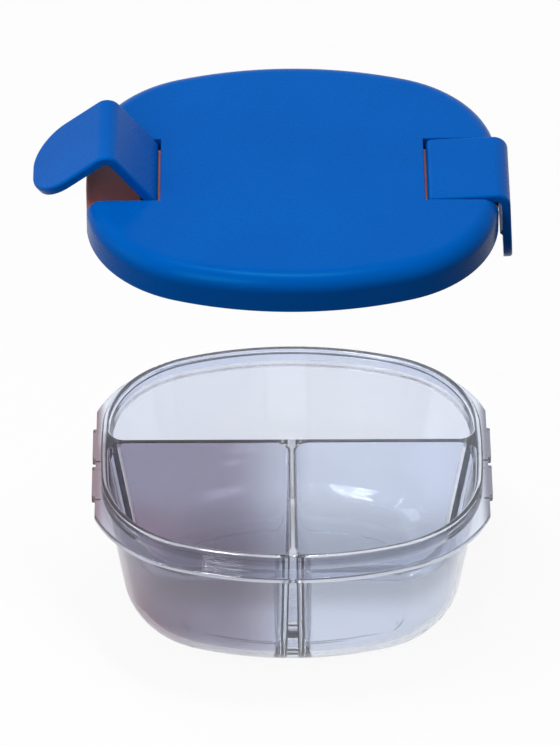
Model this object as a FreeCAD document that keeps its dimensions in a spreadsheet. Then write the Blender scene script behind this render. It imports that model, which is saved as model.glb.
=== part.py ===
import FreeCAD, Part
import math
import os
import Sketcher
from FreeCAD import Placement, Rotation, Vector

# Lunch box: a clear container with a T-shaped divider, and a blue lid held by a clip at each end.
# The lid is modelled lifted straight up off the container, with its left clip raised and its right
# clip a little open. Origin: centre of the foot on the table, +Z up, clips along X, front at -Y.

doc = FreeCAD.newDocument("lunch_box")
sheet = doc.addObject("Spreadsheet::Sheet", "Sizes")

SIZES = [
    # The lip's outer outline, which every other outline is offset from.
    ("rim_width", 160),
    ("rim_depth", 139),
    ("end_radius", 320),
    ("front_radius", 145),
    ("corner_radius", 49),
    # Container: heights, walls and drafts.
    ("box_height", 78),
    ("lip_height", 7),
    ("lip_thickness", 2.4),
    ("ledge", 0.8),
    ("lip_round", 1),
    ("flange_reach", 6),
    ("flange_thickness", 2.6),
    ("flange_round", 0.8),
    ("wall", 2.6),
    ("wall_draft", 8.5),
    ("bowl_radius", 26),
    ("floor_thickness", 2.6),
    ("foot_height", 1.2),
    ("foot_inset", 32),
    # Divider: its place, thickness at the top, draft and root fillets.
    ("divider_place", 8),
    ("divider_thickness", 2.4),
    ("divider_draft", 0.8),
    ("divider_drop", 2),
    ("divider_root", 6),
    ("divider_round", 0.7),
    # The flange ends, cut back for the clips, with a catch in two halves on each.
    ("relief_reach", 2.2),
    ("relief_side", 16),
    ("catch_reach", 1.4),
    ("catch_width", 44),
    ("catch_gap", 5.5),
    ("catch_drop", 0.8),
    ("catch_round", 0.8),
    # Lid: clearances over the lip, the seal channel, the cover and the frame inside it.
    ("seat_gap", 0.4),
    ("lid_height", 16.5),
    ("lid_round", 7),
    ("skirt_round", 0.8),
    ("notch_round", 0.6),
    ("cover_top", 2.4),
    ("skirt", 2),
    ("frame_gap", 0.2),
    ("rim_clear", 0.5),
    ("rib", 1),
    ("rib_depth", 7),
    ("plug_clear", 0.7),
    ("plug", 1.4),
    ("plug_depth", 4),
    ("plate", 1.6),
    ("seal_height", 2.2),
    ("seal_gap", 0.2),
    ("seal_clear", 0.1),
    ("seal_round", 0.8),
    ("bed_gap", 0.3),
    ("bed_round", 1.8),
    ("lid_lift", 137),
    # Clips, their hinges and their hooks.
    ("clip_width", 40),
    ("clip_thickness", 3.6),
    ("clip_bend", 6),
    ("clip_side_gap", 0.5),
    ("tab_length", 40),
    ("tab_clear", 0.4),
    ("tongue_radius", 17),
    ("clip_round", 1.2),
    ("hinge_place", 57),
    ("hinge_depth", 2.7),
    ("hinge_gap", 1),
    ("hook_reach", 1.1),
    ("hook_width", 34),
    ("hook_clear", 0.25),
    ("hook_slope", 60),
    ("left_clip_open", 52),
    ("right_clip_open", 3),
    # Hinge pins and the bosses that hold them.
    ("pin_diameter", 2),
    ("pin_seat_clear", 0.02),
    ("pin_run_clear", 0.05),
    ("pin_engage", 8),
    ("boss_width", 6),
    ("boss_half", 4),
]
for row, (alias, value) in enumerate(SIZES, 1):
    sheet.set(f"A{row}", alias)
    sheet.set(f"B{row}", str(value))
    sheet.setAlias(f"B{row}", alias)
doc.recompute()

# Places and offsets that follow from the sizes, as expressions on the sheet.
half_width = "Sizes.rim_width / 2"
half_depth = "Sizes.rim_depth / 2"
flange_top = "(Sizes.box_height - Sizes.lip_height)"
flange_bottom = f"({flange_top} - Sizes.flange_thickness)"
floor_top = "(Sizes.foot_height + Sizes.floor_thickness)"
core_inset = "(Sizes.lip_thickness + Sizes.ledge - tan(Sizes.wall_draft) * Sizes.divider_drop)"
bowl_inset = (
    f"({core_inset} + tan(Sizes.wall_draft) * (Sizes.lip_height + Sizes.flange_thickness)"
    " - Sizes.wall)"
)
divider_top = "(Sizes.box_height - Sizes.divider_drop)"
relief_edge = f"({half_width} + Sizes.relief_reach)"
catch_edge = f"({relief_edge} + Sizes.catch_reach)"

rib_reach = "(Sizes.rim_clear + Sizes.rib)"
skirt_inside = f"({rib_reach} + Sizes.frame_gap)"
lid_reach = f"({skirt_inside} + Sizes.skirt)"
end_wall_reach = f"({lid_reach} - Sizes.bed_gap)"
plug_reach = "(Sizes.lip_thickness + Sizes.plug_clear)"
seal_bottom = "(Sizes.lip_height - Sizes.seat_gap + Sizes.seal_gap)"
plate_bottom = f"({seal_bottom} + Sizes.seal_height)"
plate_top = f"({plate_bottom} + Sizes.plate)"
notch_half = "(Sizes.clip_width / 2 + Sizes.clip_side_gap)"
bed_half = f"({notch_half} - Sizes.frame_gap)"
bed_top = "(Sizes.lid_height - Sizes.clip_thickness - Sizes.bed_gap)"
bed_start = "(Sizes.hinge_place + Sizes.hinge_depth + 2 * Sizes.hinge_gap)"
notch_start = "(Sizes.hinge_place - Sizes.hinge_depth - Sizes.hinge_gap)"
hinge_height = "(Sizes.lid_height - Sizes.hinge_depth)"
lid_base = f"({flange_top} + Sizes.seat_gap + Sizes.lid_lift)"
clip_reach = f"({catch_edge} + Sizes.tab_clear + Sizes.clip_thickness - Sizes.hinge_place)"
# How far a cut runs on past the faces that it cuts through, or a piece into the one that carries it.
past = 1


def read(expression):
    """The number that an expression on the sheet stands for."""
    value = sheet.evalExpression(expression)
    return float(getattr(value, "Value", value))


def add_body(name):
    body = doc.addObject("PartDesign::Body", name)
    body.Label = name
    return body


def add_sketch(body, name, role, height="0"):
    """A sketch on one of the body's own origin planes, moved along its normal."""
    sketch = body.newObject("Sketcher::SketchObject", name)
    plane = next(f for f in body.Origin.OriginFeatures if f.Role == role)
    sketch.AttachmentSupport = [(plane, "")]
    sketch.MapMode = "FlatFace"
    sketch.setExpression("AttachmentOffset.Base.z", height)
    return sketch


def dimension(sketch, name, expression, kind, *places):
    index = sketch.addConstraint(Sketcher.Constraint(kind, *places, read(expression)))
    sketch.renameConstraint(index, name)
    sketch.setExpression(f"Constraints.{name}", expression)


def arc(x, y, radius, start, end):
    return Part.ArcOfCircle(Part.Circle(Vector(x, y, 0), Vector(0, 0, 1), radius), start, end)


def draw_oval(sketch, offset, tag="rim"):
    """The lip's outline of eight tangent arcs, offset outwards."""
    end = read(f"Sizes.end_radius + {offset}")
    front = read(f"Sizes.front_radius + {offset}")
    corner = read(f"Sizes.corner_radius + {offset}")
    end_x = read(f"{half_width} - Sizes.end_radius")
    front_y = read(f"{half_depth} - Sizes.front_radius")
    # The corner's centre is where two circles about the end and front centres cross.
    to_end = end - corner
    to_front = front - corner
    apart = math.hypot(end_x, front_y)
    along = (to_end**2 - to_front**2 + apart**2) / (2 * apart)
    aside = math.sqrt(to_end**2 - along**2)
    x = end_x - along * end_x / apart - aside * front_y / apart
    y = along * front_y / apart - aside * end_x / apart
    low = math.atan2(y, x - end_x)
    high = math.atan2(y - front_y, x)
    turn = math.pi
    first = sketch.GeometryCount
    sketch.addGeometry([
        arc(end_x, 0, end, -low, low),
        arc(x, y, corner, low, high),
        arc(0, front_y, front, high, turn - high),
        arc(-x, y, corner, turn - high, turn - low),
        arc(-end_x, 0, end, turn - low, turn + low),
        arc(-x, -y, corner, turn + low, turn + high),
        arc(0, -front_y, front, turn + high, 2 * turn - high),
        arc(x, -y, corner, 2 * turn - high, 2 * turn - low),
    ])
    right, back, left, front_arc = first, first + 2, first + 4, first + 6
    for step in range(8):
        sketch.addConstraint(Sketcher.Constraint("Tangent", first + step, 2, first + (step + 1) % 8, 1))
    for side, axis in ((right, -1), (left, -1), (back, -2), (front_arc, -2)):
        sketch.addConstraint(Sketcher.Constraint("PointOnObject", side, 3, axis))
    end_gap = f"Sizes.end_radius - {half_width}"
    front_gap = f"Sizes.front_radius - {half_depth}"
    dimension(sketch, f"{tag}_right", end_gap, "DistanceX", right, 3, -1, 1)
    dimension(sketch, f"{tag}_left", end_gap, "DistanceX", -1, 1, left, 3)
    dimension(sketch, f"{tag}_back", front_gap, "DistanceY", back, 3, -1, 1)
    dimension(sketch, f"{tag}_front", front_gap, "DistanceY", -1, 1, front_arc, 3)
    dimension(sketch, f"{tag}_end_radius", f"Sizes.end_radius + {offset}", "Radius", right)
    dimension(sketch, f"{tag}_front_radius", f"Sizes.front_radius + {offset}", "Radius", back)
    dimension(sketch, f"{tag}_corner_radius", f"Sizes.corner_radius + {offset}", "Radius", first + 1)
    sketch.addConstraint(Sketcher.Constraint("Equal", right, left))
    sketch.addConstraint(Sketcher.Constraint("Equal", back, front_arc))
    for corner_arc in (first + 3, first + 5, first + 7):
        sketch.addConstraint(Sketcher.Constraint("Equal", first + 1, corner_arc))


def draw_polygon(sketch, points, tag="p"):
    """A closed polygon whose corners are each dimensioned from the sketch's origin."""
    first = sketch.GeometryCount
    corners = [Vector(read(x), read(y), 0) for x, y in points]
    count = len(corners)
    for step in range(count):
        sketch.addGeometry(Part.LineSegment(corners[step], corners[(step + 1) % count]))
    for step in range(count):
        after = first + (step + 1) % count
        sketch.addConstraint(Sketcher.Constraint("Coincident", first + step, 2, after, 1))
    for step, (x, y) in enumerate(points):
        dimension(sketch, f"{tag}_x{step}", x, "DistanceX", first + step, 1)
        dimension(sketch, f"{tag}_y{step}", y, "DistanceY", first + step, 1)


def draw_rectangles(sketch, x_low, x_high, y_low, y_high, tag):
    """One rectangle, and its mirror images across both axes."""
    for x_sign in ("1", "-1"):
        for y_sign in ("1", "-1"):
            corners = [(x_low, y_low), (x_high, y_low), (x_high, y_high), (x_low, y_high)]
            points = [(f"{x_sign} * {x}", f"{y_sign} * {y}") for x, y in corners]
            draw_polygon(sketch, points, f"{tag}{sketch.GeometryCount}")


def draw_end_cuts(sketch, start, half, tag):
    """A rectangle at each end that runs from a given place out past every outline."""
    far_end = f"({half_width} + 2 * ({lid_reach} + Sizes.flange_reach))"
    for sign in ("1", "-1"):
        draw_polygon(sketch, [
            (f"{sign} * {start}", f"-{half}"),
            (f"{sign} * {far_end}", f"-{half}"),
            (f"{sign} * {far_end}", half),
            (f"{sign} * {start}", half),
        ], f"{tag}{sketch.GeometryCount}")


def draw_end_strips(sketch, inner, outer):
    """A strip across each end of the lid, as wide as a clip's notch, between two of the outlines."""
    for sign, turn in ((1, 0), (-1, math.pi)):
        centre = sign * read(f"{half_width} - Sizes.end_radius")
        half = sign * read(bed_half)
        inside = read(f"Sizes.end_radius + {inner}")
        outside = read(f"Sizes.end_radius + {outer}")
        inside_bend = math.asin(abs(half) / inside)
        outside_bend = math.asin(abs(half) / outside)
        root = centre + sign * inside * math.cos(inside_bend)
        tip = centre + sign * outside * math.cos(outside_bend)
        curve = sketch.GeometryCount
        upper, back, lower = curve + 1, curve + 2, curve + 3
        sketch.addGeometry([
            arc(centre, 0, outside, turn - outside_bend, turn + outside_bend),
            Part.LineSegment(Vector(tip, half, 0), Vector(root, half, 0)),
            arc(centre, 0, inside, turn - inside_bend, turn + inside_bend),
            Part.LineSegment(Vector(root, -half, 0), Vector(tip, -half, 0)),
        ])
        sketch.addConstraint([
            Sketcher.Constraint("Coincident", curve, 2, upper, 1),
            Sketcher.Constraint("Coincident", upper, 2, back, 2),
            Sketcher.Constraint("Coincident", back, 1, lower, 1),
            Sketcher.Constraint("Coincident", lower, 2, curve, 1),
            Sketcher.Constraint("Horizontal", upper),
            Sketcher.Constraint("Horizontal", lower),
            Sketcher.Constraint("PointOnObject", curve, 3, -1),
            Sketcher.Constraint("Coincident", back, 3, curve, 3),
        ])
        tag = f"strip{curve}"
        dimension(sketch, f"{tag}_centre", f"{sign} * ({half_width} - Sizes.end_radius)", "DistanceX", curve, 3)
        dimension(sketch, f"{tag}_outside", f"Sizes.end_radius + {outer}", "Radius", curve)
        dimension(sketch, f"{tag}_inside", f"Sizes.end_radius + {inner}", "Radius", back)
        dimension(sketch, f"{tag}_upper", f"{sign} * {bed_half}", "DistanceY", upper, 1)
        dimension(sketch, f"{tag}_lower", f"{-sign} * {bed_half}", "DistanceY", lower, 1)


def extrude(body, kind, name, sketch, length, down=False, both=False):
    """A Pad or Pocket of a sketch, over a length that the sheet gives."""
    feature = body.newObject(f"PartDesign::{kind}", name)
    feature.Profile = sketch
    feature.setExpression("Length", length)
    feature.Reversed = down
    if both:
        feature.SideType = "Symmetric"
    sketch.Visibility = False
    doc.recompute()
    return feature


def named(shape, kind, test):
    """Names of the faces or edges that pass a test."""
    members = shape.Faces if kind == "Face" else shape.Edges
    return [f"{kind}{index}" for index, member in enumerate(members, 1) if test(member)]


def round_edges(body, name, radius, test):
    base = body.Tip
    fillet = body.newObject("PartDesign::Fillet", name)
    fillet.Base = (base, named(base.Shape, "Edge", test))
    fillet.setExpression("Radius", radius)
    doc.recompute()
    return fillet


def draft_sides(body, name, pull_z):
    """Draft of every upright face, holding the outline at one height and narrowing downwards."""
    base = body.Tip

    def upright(face):
        u_low, u_high, v_low, v_high = face.ParameterRange
        return abs(face.normalAt((u_low + u_high) / 2, (v_low + v_high) / 2).z) < 0.01

    draft = body.newObject("PartDesign::Draft", name)
    draft.Base = (base, named(base.Shape, "Face", upright))
    held = named(base.Shape, "Face", lambda face: face.BoundBox.ZMin > pull_z - 0.01)
    draft.NeutralPlane = (base, held)
    draft.setExpression("Angle", "Sizes.wall_draft")
    draft.Reversed = True
    doc.recompute()
    return draft


def touching(shape, test):
    """Test for an edge that bounds a face of one kind."""
    keys = set()
    for face in shape.Faces:
        if test(face):
            keys.update(edge.hashCode() for edge in face.Edges)
    return lambda edge: edge.hashCode() in keys


def oval_side(face):
    """An upright side of one of the outlines, which are all broader than the divider's fillets."""
    if face.Surface.TypeId != "Part::GeomCylinder":
        return False
    return abs(face.Surface.Axis.z) > 0.99 and face.Surface.Radius > read("2 * Sizes.divider_root")


def at_height(z):
    """Test for an edge that lies flat at one height."""
    return lambda edge: abs(edge.BoundBox.ZMin - z) < 0.01 and abs(edge.BoundBox.ZMax - z) < 0.01


# Container, outside: a drafted bowl with a broad bottom radius, on a low foot.
container = add_body("container")
outline = add_sketch(container, "bowl_outline", "XY_Plane", flange_bottom)
draw_oval(outline, f"(-{bowl_inset})")
extrude(container, "Pad", "bowl", outline, f"{flange_bottom} - Sizes.foot_height", down=True)
draft_sides(container, "bowl_draft", read(flange_bottom))
round_edges(container, "bowl_bottom", "Sizes.bowl_radius", at_height(read("Sizes.foot_height")))
outline = add_sketch(container, "foot_outline", "XY_Plane")
draw_oval(outline, "(-Sizes.foot_inset)")
extrude(container, "Pad", "foot", outline, "Sizes.foot_height + Sizes.floor_thickness / 2")

# Flange all round under the lip, cut back at each end behind a catch in two halves, and the lip.
outline = add_sketch(container, "flange_outline", "XY_Plane", flange_bottom)
draw_oval(outline, "Sizes.flange_reach")
extrude(container, "Pad", "flange", outline, "Sizes.flange_thickness")
on_side = touching(container.Tip.Shape, oval_side)
flange_low = at_height(read(flange_bottom))
flange_high = at_height(read(flange_top))
round_edges(container, "flange_edges", "Sizes.flange_round",
            lambda edge: on_side(edge) and (flange_low(edge) or flange_high(edge)))
outline = add_sketch(container, "relief_outline", "XY_Plane", flange_top)
relief_half = "(Sizes.catch_width / 2 + Sizes.relief_side)"
draw_end_cuts(outline, relief_edge, relief_half, "relief")
extrude(container, "Pocket", "reliefs", outline, "Sizes.flange_thickness")
outline = add_sketch(container, "catch_outline", "XY_Plane", f"{flange_bottom} - Sizes.catch_drop")
draw_rectangles(
    outline, half_width, catch_edge, "Sizes.catch_gap / 2", "Sizes.catch_width / 2", "catch")
extrude(container, "Pad", "catches", outline, "Sizes.flange_thickness + Sizes.catch_drop")


def catch_corner(edge):
    """The upright outer corners of the catches."""
    box = edge.BoundBox
    upright = box.ZMax - box.ZMin > read("Sizes.flange_thickness")
    return upright and min(abs(box.XMin), abs(box.XMax)) > read(catch_edge) - 0.01


round_edges(container, "catch_corners", "Sizes.catch_round", catch_corner)
outline = add_sketch(container, "lip_outline", "XY_Plane", flange_top)
draw_oval(outline, "0")
extrude(container, "Pad", "lip", outline, "Sizes.lip_height")
round_edges(container, "lip_outer_round", "Sizes.lip_round", at_height(read("Sizes.box_height")))


# Container, inside: a shallow mouth down to the divider's top, which leaves a narrow ledge, and
# three compartments, each a drafted core cut back to the divider's faces and rounded along them.
outline = add_sketch(container, "mouth_outline", "XY_Plane", "Sizes.box_height")
draw_oval(outline, "(-Sizes.lip_thickness)")
extrude(container, "Pocket", "mouth", outline, "Sizes.divider_drop")


def add_core(name):
    core = add_body(name)
    rim = add_sketch(core, f"{name}_outline", "XY_Plane", "Sizes.box_height")
    draw_oval(rim, f"(-{core_inset})")
    extrude(core, "Pad", f"{name}_pad", rim, f"Sizes.box_height - {floor_top}", down=True)
    draft_sides(core, f"{name}_draft", read("Sizes.box_height"))
    round_edges(core, f"{name}_bottom", "Sizes.bowl_radius - Sizes.wall", at_height(read(floor_top)))
    return core


def divider_face(face):
    """The divider's faces are the flat ones that stand nearly upright."""
    if face.Surface.TypeId != "Part::GeomPlane":
        return False
    return abs(face.normalAt(0, 0).z) < 0.5


def cut_back(core, name, role, place, side):
    """Cut a core away on one side of a divider face, which leans out with the divider's draft."""
    low = f"(-{past})"
    high = f"(Sizes.box_height + {past})"
    far = f"({side} * Sizes.rim_width)"
    lean = "tan(Sizes.divider_draft)"
    face_low = f"({place} - {side} * (Sizes.divider_thickness / 2 + {lean} * (Sizes.box_height + {past})))"
    face_high = f"({place} - {side} * (Sizes.divider_thickness / 2 - {lean} * {past}))"
    sketch = add_sketch(core, name, role)
    draw_polygon(sketch, [(far, low), (face_low, low), (face_high, high), (far, high)])
    extrude(core, "Pocket", f"{name}_cut", sketch, "2 * Sizes.rim_width", both=True)


cores = []
for name, across, beside in (("back_core", "-1", None), ("left_core", "1", "1"), ("right_core", "1", "-1")):
    core = add_core(name)
    cut_back(core, f"{name}_cross", "YZ_Plane", "Sizes.divider_place", across)
    if beside:
        cut_back(core, f"{name}_centre", "XZ_Plane", "0", beside)
    on_divider = touching(core.Tip.Shape, divider_face)
    core_top = at_height(read("Sizes.box_height"))
    round_edges(core, f"{name}_root", "Sizes.divider_root",
                lambda edge: on_divider(edge) and not core_top(edge))
    cores.append(core)

hollow = container.newObject("PartDesign::Boolean", "hollow")
hollow.setObjects(cores)
hollow.Type = "Cut"
doc.recompute()


on_side = touching(container.Tip.Shape, oval_side)
divider_level = at_height(read(divider_top))
round_edges(container, "divider_edges", "Sizes.divider_round",
            lambda edge: divider_level(edge) and not on_side(edge))
on_side = touching(container.Tip.Shape, oval_side)
lip_level = at_height(read("Sizes.box_height"))
round_edges(container, "lip_inner_round", "Sizes.lip_round", lambda edge: lip_level(edge) and on_side(edge))

# The blue cover: a shell with a broad top edge, a clip notch through each end, and beside each
# notch a boss on either hand that holds a hinge pin.
lid_cover = add_body("lid_cover")
outline = add_sketch(lid_cover, "cover_outline", "XY_Plane")
draw_oval(outline, lid_reach)
extrude(lid_cover, "Pad", "cover", outline, "Sizes.lid_height")
round_edges(lid_cover, "cover_edge", "Sizes.lid_round", at_height(read("Sizes.lid_height")))
round_edges(lid_cover, "skirt_edge", "Sizes.skirt_round", at_height(0))
outline = add_sketch(lid_cover, "cover_inside", "XY_Plane")
draw_oval(outline, skirt_inside)
extrude(lid_cover, "Pocket", "cover_hollow", outline, "Sizes.lid_height - Sizes.cover_top", down=True)
inner_round = f"min(Sizes.lid_round - Sizes.skirt; Sizes.lid_height - Sizes.cover_top - {plate_top})"
round_edges(lid_cover, "cover_inner_edge", inner_round, at_height(read("Sizes.lid_height - Sizes.cover_top")))
outline = add_sketch(lid_cover, "boss_outline", "XY_Plane", f"{plate_top} + Sizes.frame_gap")
draw_rectangles(
    outline, "(Sizes.hinge_place - Sizes.boss_half)", "(Sizes.hinge_place + Sizes.boss_half)",
    f"({notch_half} - {past})", f"({notch_half} + Sizes.boss_width)", "boss")
extrude(lid_cover, "Pad", "bosses", outline,
        f"Sizes.lid_height - Sizes.cover_top / 2 - {plate_top} - Sizes.frame_gap")
outline = add_sketch(lid_cover, "notch_outline", "XY_Plane")
draw_end_cuts(outline, notch_start, notch_half, "notch")
extrude(lid_cover, "Pocket", "notches", outline, "Sizes.lid_height", down=True)


def outer_skin(face):
    """The cover's top, its rounded edges and the outside of its skirt."""
    surface = face.Surface
    if surface.TypeId == "Part::GeomPlane":
        return face.BoundBox.ZMin > read("Sizes.lid_height") - 0.01
    if surface.TypeId == "Part::GeomToroid":
        rounds = ("lid_round", "skirt_round")
        return any(abs(surface.MinorRadius - read(f"Sizes.{name}")) < 0.01 for name in rounds)
    if surface.TypeId == "Part::GeomCylinder" and abs(surface.Axis.z) > 0.99:
        arcs = ("end_radius", "front_radius", "corner_radius")
        return any(abs(surface.Radius - read(f"Sizes.{name} + {lid_reach}")) < 0.01 for name in arcs)
    return False


def notch_wall(face):
    return face.Surface.TypeId == "Part::GeomPlane" and abs(face.normalAt(0, 0).z) < 0.01


on_skin = touching(lid_cover.Tip.Shape, outer_skin)
on_wall = touching(lid_cover.Tip.Shape, notch_wall)
round_edges(lid_cover, "notch_edges", "Sizes.notch_round", lambda edge: on_skin(edge) and on_wall(edge))


def draw_hinge_circles(sketch, places, height, radius):
    for index, place in enumerate(places):
        centre = Vector(read(place), read(height), 0)
        sketch.addGeometry(Part.Circle(centre, Vector(0, 0, 1), read(radius)))
        dimension(sketch, f"hinge_x{index}", place, "DistanceX", index, 3)
        dimension(sketch, f"hinge_y{index}", height, "DistanceY", index, 3)
        dimension(sketch, f"hinge_radius{index}", radius, "Radius", index)


outline = add_sketch(lid_cover, "pin_holes_outline", "XZ_Plane")
draw_hinge_circles(outline, ["Sizes.hinge_place", "-Sizes.hinge_place"], hinge_height,
                   "(Sizes.pin_diameter / 2 + Sizes.pin_seat_clear)")
extrude(lid_cover, "Pocket", "pin_holes", outline,
        f"2 * ({notch_half} + Sizes.boss_width + {past})", both=True)

# The frame inside the cover: a plate with the seal's channel below it between two ribs, and under
# each clip a bed and an end wall that close the cover's notch.
lid_frame = add_body("lid_frame")
outline = add_sketch(lid_frame, "plate_outline", "XY_Plane", plate_bottom)
draw_oval(outline, rib_reach)
extrude(lid_frame, "Pad", "frame_plate", outline, "Sizes.plate")
outline = add_sketch(lid_frame, "rib_outline", "XY_Plane", f"{plate_bottom} - Sizes.rib_depth")
draw_oval(outline, rib_reach, "outer")
draw_oval(outline, "Sizes.rim_clear", "inner")
extrude(lid_frame, "Pad", "outer_rib", outline, "Sizes.rib_depth + Sizes.plate / 2")
outline = add_sketch(lid_frame, "plug_outline", "XY_Plane", f"{plate_bottom} - Sizes.plug_depth")
draw_oval(outline, f"(-{plug_reach})", "outer")
draw_oval(outline, f"(-{plug_reach} - Sizes.plug)", "inner")
extrude(lid_frame, "Pad", "plug_rib", outline, "Sizes.plug_depth + Sizes.plate / 2")
outline = add_sketch(lid_frame, "bed_outline", "XY_Plane", plate_bottom)
draw_end_strips(outline, f"({bed_start} - {half_width})", end_wall_reach)
extrude(lid_frame, "Pad", "clip_beds", outline, f"{bed_top} - {plate_bottom}")
outline = add_sketch(lid_frame, "end_wall_outline", "XY_Plane", f"{plate_bottom} - Sizes.rib_depth")
draw_end_strips(outline, "Sizes.rim_clear", end_wall_reach)
extrude(lid_frame, "Pad", "end_walls", outline, "Sizes.rib_depth + Sizes.plate / 2")


def bed_edge(edge):
    """The beds' outer top edges."""
    box = edge.BoundBox
    return at_height(read(bed_top))(edge) and min(abs(box.XMin), abs(box.XMax)) > read(half_width)


bed_rise = f"({bed_top} - {plate_top})"
round_edges(lid_frame, "bed_outer_round", f"min(Sizes.bed_round; {bed_rise} - Sizes.bed_gap)", bed_edge)

# The silicone ring that lies in the frame's channel and comes down on the lip.
lid_seal = add_body("lid_seal")
outline = add_sketch(lid_seal, "seal_outline", "XY_Plane", seal_bottom)
draw_oval(outline, "Sizes.rim_clear - Sizes.seal_clear", "outer")
draw_oval(outline, f"(-{plug_reach} + Sizes.seal_clear)", "inner")
extrude(lid_seal, "Pad", "seal", outline, "Sizes.seal_height")
round_edges(lid_seal, "seal_edge", "Sizes.seal_round", at_height(read(seal_bottom)))

for piece in (lid_cover, lid_frame, lid_seal):
    piece.setExpression("Placement.Base.z", lid_base)


# A clip, drawn closed with its hinge at the origin: a strip that lies flush in the lid's top, a
# bend, a tab down the outside with a tongue end, and a hook whose slope lets it swing free.
def add_clip(name):
    clip = add_body(name)
    top = read("Sizes.hinge_depth")
    thick = read("Sizes.clip_thickness")
    reach = read(clip_reach)
    bend = read("Sizes.clip_bend")
    tip = read("Sizes.hinge_depth - Sizes.tab_length")
    under = top - thick
    meet = math.sqrt(top**2 - under**2)
    sketch = add_sketch(clip, f"{name}_profile", "XZ_Plane")
    sketch.addGeometry([
        Part.LineSegment(Vector(0, top, 0), Vector(reach - bend, top, 0)),
        arc(reach - bend, top - bend, bend, 0, math.pi / 2),
        Part.LineSegment(Vector(reach, top - bend, 0), Vector(reach, tip, 0)),
        Part.LineSegment(Vector(reach, tip, 0), Vector(reach - thick, tip, 0)),
        Part.LineSegment(Vector(reach - thick, tip, 0), Vector(reach - thick, top - bend, 0)),
        arc(reach - bend, top - bend, bend - thick, 0, math.pi / 2),
        Part.LineSegment(Vector(reach - bend, under, 0), Vector(meet, under, 0)),
        arc(0, 0, top, math.pi / 2, 2 * math.pi + math.atan2(under, meet)),
    ])
    sketch.addConstraint([
        Sketcher.Constraint("Tangent", 7, 1, 0, 1),
        Sketcher.Constraint("Tangent", 0, 2, 1, 2),
        Sketcher.Constraint("Tangent", 1, 1, 2, 1),
        Sketcher.Constraint("Coincident", 2, 2, 3, 1),
        Sketcher.Constraint("Coincident", 3, 2, 4, 1),
        Sketcher.Constraint("Tangent", 4, 2, 5, 1),
        Sketcher.Constraint("Tangent", 5, 2, 6, 1),
        Sketcher.Constraint("Coincident", 6, 2, 7, 2),
        Sketcher.Constraint("Horizontal", 0),
        Sketcher.Constraint("Vertical", 2),
        Sketcher.Constraint("Horizontal", 3),
        Sketcher.Constraint("Vertical", 4),
        Sketcher.Constraint("Horizontal", 6),
        Sketcher.Constraint("Coincident", 7, 3, -1, 1),
        Sketcher.Constraint("Coincident", 1, 3, 5, 3),
    ])
    dimension(sketch, "barrel", "Sizes.hinge_depth", "Radius", 7)
    dimension(sketch, "bend", "Sizes.clip_bend", "Radius", 1)
    dimension(sketch, "reach", clip_reach, "DistanceX", -1, 1, 2, 1)
    dimension(sketch, "drop", "Sizes.tab_length", "DistanceY", 2, 2, 0, 1)
    dimension(sketch, "thick", "Sizes.clip_thickness", "DistanceX", 3, 2, 3, 1)
    extrude(clip, "Pad", f"{name}_strip", sketch, "Sizes.clip_width", both=True)

    half = read("Sizes.clip_width / 2")

    def tongue_corner(edge):
        box = edge.BoundBox
        return box.ZMax < tip + 0.01 and box.YMax - box.YMin < 0.01 and abs(abs(box.YMin) - half) < 0.01

    round_edges(clip, f"{name}_tongue", "Sizes.tongue_radius", tongue_corner)

    # The hook's upper slope just clears the catch's lower edge when the clip is closed.
    slope = "tan(Sizes.hook_slope)"
    inner = f"({clip_reach} - Sizes.clip_thickness)"
    catch_low = (
        f"(-Sizes.lid_height + Sizes.hinge_depth - Sizes.seat_gap - Sizes.flange_thickness"
        f" - Sizes.catch_drop - Sizes.hook_clear)"
    )
    root = f"({catch_low} + Sizes.tab_clear * {slope})"
    point = f"({root} - Sizes.hook_reach * {slope})"
    within = "Sizes.clip_thickness / 2"
    hook = add_sketch(clip, f"{name}_hook_profile", "XZ_Plane")
    draw_polygon(hook, [
        (f"{inner} + {within}", root),
        (inner, root),
        (f"{inner} - Sizes.hook_reach", point),
        (inner, f"{point} - Sizes.hook_reach"),
        (f"{inner} + {within}", f"{point} - Sizes.hook_reach"),
    ], "hook")
    extrude(clip, "Pad", f"{name}_hook", hook, "Sizes.hook_width", both=True)

    bore = add_sketch(clip, f"{name}_bore_outline", "XZ_Plane")
    draw_hinge_circles(bore, ["0"], "0", "(Sizes.pin_diameter / 2 + Sizes.pin_run_clear)")
    extrude(clip, "Pocket", f"{name}_bore", bore, "2 * Sizes.clip_width", both=True)

    outer_faces = set()
    for face in clip.Tip.Shape.Faces:
        box = face.BoundBox
        on_top = box.ZMin > top - 0.01
        on_tab = box.XMin > reach - 0.01
        on_bend = face.Surface.TypeId == "Part::GeomCylinder" and abs(face.Surface.Radius - bend) < 0.01
        if on_top or on_tab or (on_bend and box.XMax > reach - 0.01):
            outer_faces.update(edge.hashCode() for edge in face.Edges)

    def outer_rim(edge):
        box = edge.BoundBox
        across = box.YMax - box.YMin > 2 * half - 0.01
        return edge.hashCode() in outer_faces and not across

    round_edges(clip, f"{name}_rim", "Sizes.clip_round", outer_rim)
    return clip


left_clip = add_clip("left_clip")
right_clip = add_clip("right_clip")
hinge_x = read("Sizes.hinge_place")
hinge_z = read(f"{lid_base} + {hinge_height}")
left_clip.Placement = Placement(Vector(-hinge_x, 0, hinge_z), Rotation(180, -read("Sizes.left_clip_open"), 0))
right_clip.Placement = Placement(Vector(hinge_x, 0, hinge_z), Rotation(0, -read("Sizes.right_clip_open"), 0))

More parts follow.
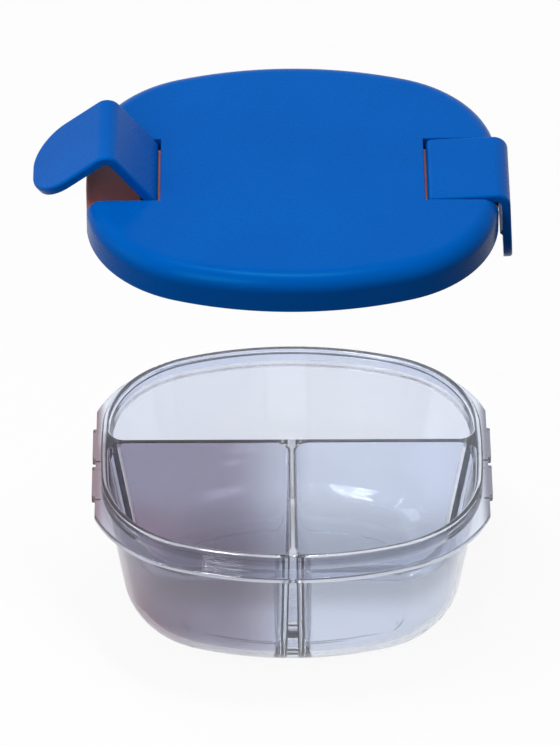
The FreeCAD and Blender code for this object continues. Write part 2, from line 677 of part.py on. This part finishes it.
# Two short pins hold each clip, each through a boss and into the clip's barrel.
pins = []
pin_start = f"({notch_half} - Sizes.clip_side_gap - Sizes.pin_engage)"
for side, sign in (("left", -1), ("right", 1)):
    for end, face in (("front", -1), ("back", 1)):
        pin = doc.addObject("Part::Cylinder", f"{side}_pin_{end}")
        pin.Label = f"{side}_pin_{end}"
        pin.setExpression("Radius", "Sizes.pin_diameter / 2")
        pin.setExpression(
            "Height", "Sizes.pin_engage + Sizes.clip_side_gap + Sizes.boss_width")
        start = Vector(sign * hinge_x, face * read(pin_start), hinge_z)
        pin.Placement = Placement(start, Rotation(Vector(0, 0, 1), Vector(0, face, 0)))
        pins.append(pin)

doc.recompute()
for item in doc.Objects:
    if "Invalid" in item.State or "Error" in item.State:
        raise RuntimeError(f"{item.Name} failed: {item.State}")
pieces = [container, lid_cover, lid_frame, lid_seal, left_clip, right_clip] + pins
for piece in pieces:
    if piece.Shape.isNull() or not piece.Shape.isValid():
        raise RuntimeError(f"{piece.Label} has no valid shape")
os.makedirs("parts", exist_ok=True)
for piece in pieces:
    piece.Shape.exportStep(f"parts/{piece.Label}.step")
    box = piece.Shape.BoundBox
    print(f"{piece.Label}: {piece.Shape.Volume / 1000:.2f} cm3, {len(piece.Shape.Solids)} solid(s),"
          f" {box.XLength:.1f} x {box.YLength:.1f} x {box.ZLength:.1f} mm, z {box.ZMin:.1f} to {box.ZMax:.1f}")
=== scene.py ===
import math

import bpy
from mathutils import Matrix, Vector

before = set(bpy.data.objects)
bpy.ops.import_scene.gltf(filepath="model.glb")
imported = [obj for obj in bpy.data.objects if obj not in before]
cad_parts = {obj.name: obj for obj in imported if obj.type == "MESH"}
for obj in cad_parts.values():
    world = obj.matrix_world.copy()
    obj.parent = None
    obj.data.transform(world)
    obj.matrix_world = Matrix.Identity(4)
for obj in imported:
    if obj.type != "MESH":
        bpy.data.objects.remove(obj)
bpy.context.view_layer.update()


# Container: one clear moulding in a hard plastic with a faint lavender cast. Painted shade darkens
# its front left, low against the divider, the front of the lip's side, the stem's top and the flange
# ends, and a rosy painted reflection lies low on the left wall. Its polished walls carry the mould's
# slight waviness, and its flange ends are a little frosted where the clips rub.
class Signal:
    """A socket of a shader, so that sums on it read as arithmetic and add Math nodes."""

    def __init__(self, socket):
        self.socket = socket
        self.tree = socket.id_data

    @classmethod
    def node(cls, tree, kind, settings, sockets, out=0):
        """A node of one kind: its settings are made first, then its sockets are filled or linked."""
        made = tree.nodes.new(kind)
        for key, value in settings.items():
            setattr(made, key, value)
        for key, value in sockets.items():
            if isinstance(value, Signal):
                tree.links.new(value.socket, made.inputs[key])
            else:
                made.inputs[key].default_value = value
        return cls(made.outputs[out]) if made.outputs else None

    def maths(self, operation, other):
        return Signal.node(self.tree, "ShaderNodeMath", {"operation": operation}, {0: self, 1: other})

    def __add__(self, other):
        return self.maths("ADD", other)

    def __mul__(self, other):
        return self.maths("MULTIPLY", other)

    __radd__ = __add__
    __rmul__ = __mul__

    def axis(self, index):
        return Signal.node(self.tree, "ShaderNodeSeparateXYZ", {}, {0: self}, out=index)

    def noise(self, scale, detail, roughness=0.5):
        """Cloudy noise over a place, in patches about one over the scale across."""
        return Signal.node(self.tree, "ShaderNodeTexNoise", {}, {
            "Vector": self, "Scale": scale, "Detail": detail, "Roughness": roughness})

    def ease(self, start, full):
        """Rises smoothly from 0 at one value to 1 at another."""
        return Signal.node(self.tree, "ShaderNodeMapRange", {"interpolation_type": "SMOOTHSTEP"}, {
            "Value": self, "From Min": start, "From Max": full})

    def span(self, low, high):
        """The first number where this is 0 and the second where it is 1."""
        return self * (high - low) + low

    def blend(self, first, second):
        """The first colour where this is 0 and the second where it is 1."""
        return Signal.node(self.tree, "ShaderNodeMix", {"data_type": "RGBA"}, {
            0: self, 6: first, 7: second}, out=2)

    def bump(self, strength, depth):
        return Signal.node(self.tree, "ShaderNodeBump", {}, {
            "Height": self, "Strength": strength, "Distance": depth})


def new_finish(name, **constants):
    """A material with one Principled shader, and the place on the piece for its patterns."""
    material = bpy.data.materials.new(name)
    material.use_nodes = True
    tree = material.node_tree
    shader = tree.nodes["Principled BSDF"]
    for key, value in constants.items():
        shader.inputs[key.replace("_", " ")].default_value = value
    return material, shader, Signal.node(tree, "ShaderNodeTexCoord", {}, {}, out="Object")


def feed(shader, **signals):
    for key, signal in signals.items():
        signal.tree.links.new(signal.socket, shader.inputs[key.replace("_", " ")])


def dress(material, *nodes):
    for name in nodes:
        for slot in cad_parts[name].material_slots:
            slot.material = material


lavender, pale_lavender = (0.84, 0.885, 1.0, 1), (0.865, 0.91, 1.0, 1)
# Painted shade in mauve greys for the front left, and a rosy painted reflection for low on the left wall.
painted_shade_mauve, deep_painted_shade, painted_rosy_reflection = (0.44, 0.41, 0.5, 1), (0.25, 0.21, 0.26, 1), (0.42, 0.31, 0.39, 1)
# Painted shade greys for low against the divider, the stem's top and the lip's front side.
divider_painted_shade, stem_painted_shade, lip_painted_shade = (0.53, 0.56, 0.62, 1), (0.55, 0.58, 0.66, 1), (0.46, 0.49, 0.6, 1)
# Painted shade for the flange ends, the left one rosy like the painted reflection on that side.
right_end_painted_shade, left_end_painted_shade = (0.3, 0.31, 0.39, 1), (0.34, 0.25, 0.3, 1)

# Stretches in metres from the middle of the foot: each runs from where a tint starts to where it
# is full.
before_divider, near_divider, divider_foot = (0.013, 0.009), (-0.02, 0.0), (0.05, 0.015)
left_half, left_wall, off_front_wall = (0.01, -0.03), (-0.03, -0.07), (-0.06, -0.02)
above_floor, below_middle = (0.004, 0.012), (0.055, 0.02)
lip_bottom, lip_top, lip_front = (0.0708, 0.0716), (0.0774, 0.0766), (0.0, -0.05)
stem_bottom, stem_crest = (0.075, 0.0756), (0.0766, 0.0762)
stem_left, stem_right = (-0.0024, -0.0018), (0.0024, 0.0018)
flange_height, flange_left, flange_right = (0.064, 0.068), (-0.078, -0.082), (0.078, 0.082)

clear_plastic, shader, place = new_finish("clear_plastic", Transmission_Weight=0.91, IOR=1.5)
across, depth, height = (place.axis(index) for index in range(3))
front = depth.ease(*before_divider)
# Painted shade over the front left compartment, lighter towards the front wall.
left_front_shade = across.ease(*left_half) * front * depth.ease(*off_front_wall).span(0.6, 1.0)
# Painted reflection: a rosy cast low on the left wall, towards the front.
far_left_reflection = across.ease(*left_wall) * front * height.ease(*below_middle) * height.ease(*above_floor)
# Painted shade low against the front face of the divider.
shade_by_divider = depth.ease(*near_divider) * front * height.ease(*divider_foot)
# Painted shade on the lip's outer side along the front.
lip_side_shade = height.ease(*lip_bottom) * height.ease(*lip_top) * depth.ease(*lip_front)
# Painted shade along the top of the stem at the front.
stem_edge_shade = height.ease(*stem_bottom) * height.ease(*stem_crest) * front
stem_edge_shade = stem_edge_shade * across.ease(*stem_left) * across.ease(*stem_right)
at_flange = height.ease(*flange_height)
# Painted shade darkens both flange ends, which are also frosted.
left_end = across.ease(*flange_left) * at_flange
right_end = across.ease(*flange_right) * at_flange

soft_patches, sparse_patches = (0.3, 0.7), (0.5, 0.8)
lip_share, frosted_roughness = 0.9, 0.12
cloud = place.noise(scale=14, detail=1.0).ease(*soft_patches)
tint = cloud.blend(lavender, pale_lavender)
# Each patch below is painted shade laid over the lavender tint, except the rosy painted reflection on the
# far left.
for painted_patch, colour in (
        (shade_by_divider, divider_painted_shade),
        (left_front_shade, painted_shade_mauve),
        (left_front_shade * shade_by_divider, deep_painted_shade),
        (far_left_reflection, painted_rosy_reflection),
        (lip_side_shade * lip_share, lip_painted_shade),
        (stem_edge_shade, stem_painted_shade),
        (right_end, right_end_painted_shade),
        (left_end, left_end_painted_shade)):
    tint = painted_patch.blend(tint, colour)
smudge = place.noise(scale=45, detail=3.0).ease(*sparse_patches)
frosting = (left_end + right_end) * frosted_roughness
waviness = place.noise(scale=38, detail=1.0)
feed(shader, Base_Color=tint, Roughness=smudge.span(0.01, 0.04) + frosting,
     Normal=waviness.bump(strength=0.03, depth=0.002))
dress(clear_plastic, "container")


# Lid frame: a moulding inside the lid that holds the seal and backs the clips. Only its clip beds
# and the walls behind the clips show, in the cover's notches. Its red-brown is painted shade,
# standing in for the reddish shade in those notches. It has a plain spark-eroded mould finish.
# Painted shade: a red-brown that stands in for the reddish shade in the cover's notches.
painted_shade_red_brown, pale_painted_shade_red_brown = (0.42, 0.14, 0.13, 1), (0.47, 0.16, 0.15, 1)
frame_plastic, shader, place = new_finish("frame_plastic")
mottle = place.noise(scale=120, detail=2.0).ease(*soft_patches)
grain = place.noise(scale=2600, detail=1.0)
feed(shader, Base_Color=mottle.blend(painted_shade_red_brown, pale_painted_shade_red_brown), Roughness=mottle.span(0.5, 0.6),
     Normal=grain.bump(strength=0.12, depth=0.0002))
dress(frame_plastic, "lid_frame")


# Seal: a pale silicone ring pressed into the frame's channel, which comes down on the lip.
# Silicone is soft and a little waxy, and picks up a faint bloom.
milky_grey, bloom_grey = (0.66, 0.67, 0.69, 1), (0.74, 0.75, 0.77, 1)
silicone, shader, place = new_finish(
    "silicone", Subsurface_Weight=0.3, Subsurface_Radius=(0.004, 0.004, 0.004))
bloom = place.noise(scale=180, detail=3.0).ease(0.35, 0.75)
feed(shader, Base_Color=bloom.blend(milky_grey, bloom_grey), Roughness=bloom.span(0.45, 0.65))
dress(silicone, "lid_seal")


# Lid cover and clips: one saturated blue moulding each, with a satin finish that the mould's fine
# leather-like grain gives, so highlights along the rounded edge break up into small sparkles.
blue, pale_blue = (0.0, 0.104, 0.47, 1), (0.0, 0.112, 0.495, 1)
blue_plastic, shader, place = new_finish(
    "blue_plastic", Specular_IOR_Level=0.06, Specular_Tint=(0.05, 0.9, 1.0, 1.0))
drift = place.noise(scale=22, detail=2.0).ease(*soft_patches)
grain = place.noise(scale=1500, detail=2.0, roughness=0.6)
feed(shader, Base_Color=drift.blend(blue, pale_blue), Roughness=grain.span(0.2, 0.34),
     Normal=grain.bump(strength=0.22, depth=0.0002))
dress(blue_plastic, "lid_cover", "left_clip", "right_clip")


# Hinge pins: short lengths of drawn steel wire, each through a boss and into a clip's barrel.
# Drawing leaves fine lines along the wire.
steel, bright_steel = (0.5, 0.5, 0.52, 1), (0.66, 0.66, 0.68, 1)
drawn_out = (1, 0.04, 1)
pin_steel, shader, place = new_finish("pin_steel", Metallic=1.0)
along = Signal.node(place.tree, "ShaderNodeMapping", {}, {"Vector": place, "Scale": drawn_out})
lines = along.noise(scale=3000, detail=2.0)
feed(shader, Base_Color=lines.blend(steel, bright_steel), Roughness=lines.span(0.2, 0.4))
dress(pin_steel, "left_pin_front", "left_pin_back", "right_pin_front", "right_pin_back")


# Studio: a plain white floor and dome, which stay white in reflections and through the clear walls.
# The floor keeps a soft shadow, the dome's own light is dim, and three soft boxes light the object.
# A fourth lights no matt surface, and brightens the patch of gloss in the right compartment.
def plainly_seen(tree):
    """1 for rays from the camera, off gloss or through the clear walls, and 0 for the others."""
    from_camera, off_gloss, through_clear = (
        Signal.node(tree, "ShaderNodeLightPath", {}, {}, out=kind)
        for kind in ("Is Camera Ray", "Is Glossy Ray", "Is Transmission Ray"))
    return from_camera.maths("MAXIMUM", off_gloss).maths("MAXIMUM", through_clear)


white = (1.0, 1.0, 1.0, 1)
bounce_grey = (0.1, 0.1, 0.1, 1)
glow_share = 0.92
half_side, below_foot = 3, -0.0003
corners = [(x, y, below_foot) for x, y in (
    (-half_side, -half_side), (half_side, -half_side), (half_side, half_side), (-half_side, half_side))]
floor_mesh = bpy.data.meshes.new("floor")
floor_mesh.from_pydata(corners, [], [(0, 1, 2, 3)])
floor = bpy.data.objects.new("floor", floor_mesh)
bpy.context.scene.collection.objects.link(floor)
floor_paint = bpy.data.materials.new("floor_paint")
floor_paint.use_nodes = True
tree = floor_paint.node_tree
tree.nodes.clear()
seen = plainly_seen(tree)
lit = Signal.node(tree, "ShaderNodeBsdfDiffuse", {}, {"Color": seen.blend(bounce_grey, white)})
glow = Signal.node(tree, "ShaderNodeEmission", {}, {"Color": white, "Strength": 1.0})
paint = Signal.node(tree, "ShaderNodeMixShader", {}, {0: seen * glow_share, 1: lit, 2: glow})
Signal.node(tree, "ShaderNodeOutputMaterial", {}, {"Surface": paint})
floor_mesh.materials.append(floor_paint)

low_grey, high_grey = (0.1, 0.1, 0.115, 1), (0.22, 0.22, 0.235, 1)
horizon, high_up = 0.0, 0.75
world = bpy.data.worlds.new("studio")
bpy.context.scene.world = world
world.use_nodes = True
tree = world.node_tree
tree.nodes.clear()
heading = Signal.node(tree, "ShaderNodeTexCoord", {}, {}, out="Generated")
dome = heading.axis(2).ease(horizon, high_up).blend(low_grey, high_grey)
dome = plainly_seen(tree).blend(dome, white)
sky = Signal.node(tree, "ShaderNodeBackground", {}, {"Color": dome, "Strength": 1.0})
Signal.node(tree, "ShaderNodeOutputWorld", {}, {"Surface": sky})


def soft_box(name, place, target, width, length, watts):
    data = bpy.data.lights.new(name, "AREA")
    data.shape = "RECTANGLE"
    data.size, data.size_y = width, length
    data.energy = watts
    lamp = bpy.data.objects.new(name, data)
    lamp.location = place
    lamp.rotation_euler = (Vector(target) - Vector(place)).to_track_quat("-Z", "Y").to_euler()
    bpy.context.scene.collection.objects.link(lamp)
    return lamp


soft_box("overhead_box", place=(-0.05, -0.05, 1.6), target=(0, 0, 0.1), width=0.55, length=0.16, watts=12)
soft_box("left_box", place=(-1.2, -0.25, 0.75), target=(0, 0, 0.15), width=0.7, length=0.8, watts=4)
soft_box("window_box", place=(-0.6, -1.17, 0.97), target=(0, 0, 0.05), width=0.15, length=0.8, watts=4.2)
glint_box = soft_box(
    "glint_box", place=(-0.5, -1.17, 0.97), target=(0, 0, 0.05), width=0.28, length=0.6, watts=7.5)
glint_box.visible_diffuse = False


# Camera: a long lens well back, looking down a little under 40 degrees at the front, aimed so that
# the rim's centre falls where the photograph has it.
picture_width, picture_height = 560, 746
rim_column, rim_row = 292, 449
rim_centre = Vector((0, 0, 0.078))
elevation, swing = math.radians(39.5), math.radians(-0.5)
lens_pixels, pixels_per_metre = 6500, 2390
back = Vector((
    math.sin(swing) * math.cos(elevation), -math.cos(swing) * math.cos(elevation), math.sin(elevation)))
right = back.cross(Vector((0, 0, -1))).normalized()
up = back.cross(right)
camera_data = bpy.data.cameras.new("camera")
camera_data.lens = lens_pixels / picture_height * camera_data.sensor_width
camera_data.clip_end = 100
camera = bpy.data.objects.new("camera", camera_data)
camera.location = rim_centre + back * (lens_pixels / pixels_per_metre)
below_middle_row, right_of_middle = rim_row - picture_height / 2, rim_column - picture_width / 2
aim = rim_centre + (up * below_middle_row - right * right_of_middle) / pixels_per_metre
camera.rotation_euler = (aim - camera.location).to_track_quat("-Z", "Y").to_euler()
bpy.context.scene.collection.objects.link(camera)
bpy.context.scene.camera = camera
bpy.context.scene.view_settings.view_transform = "Standard"
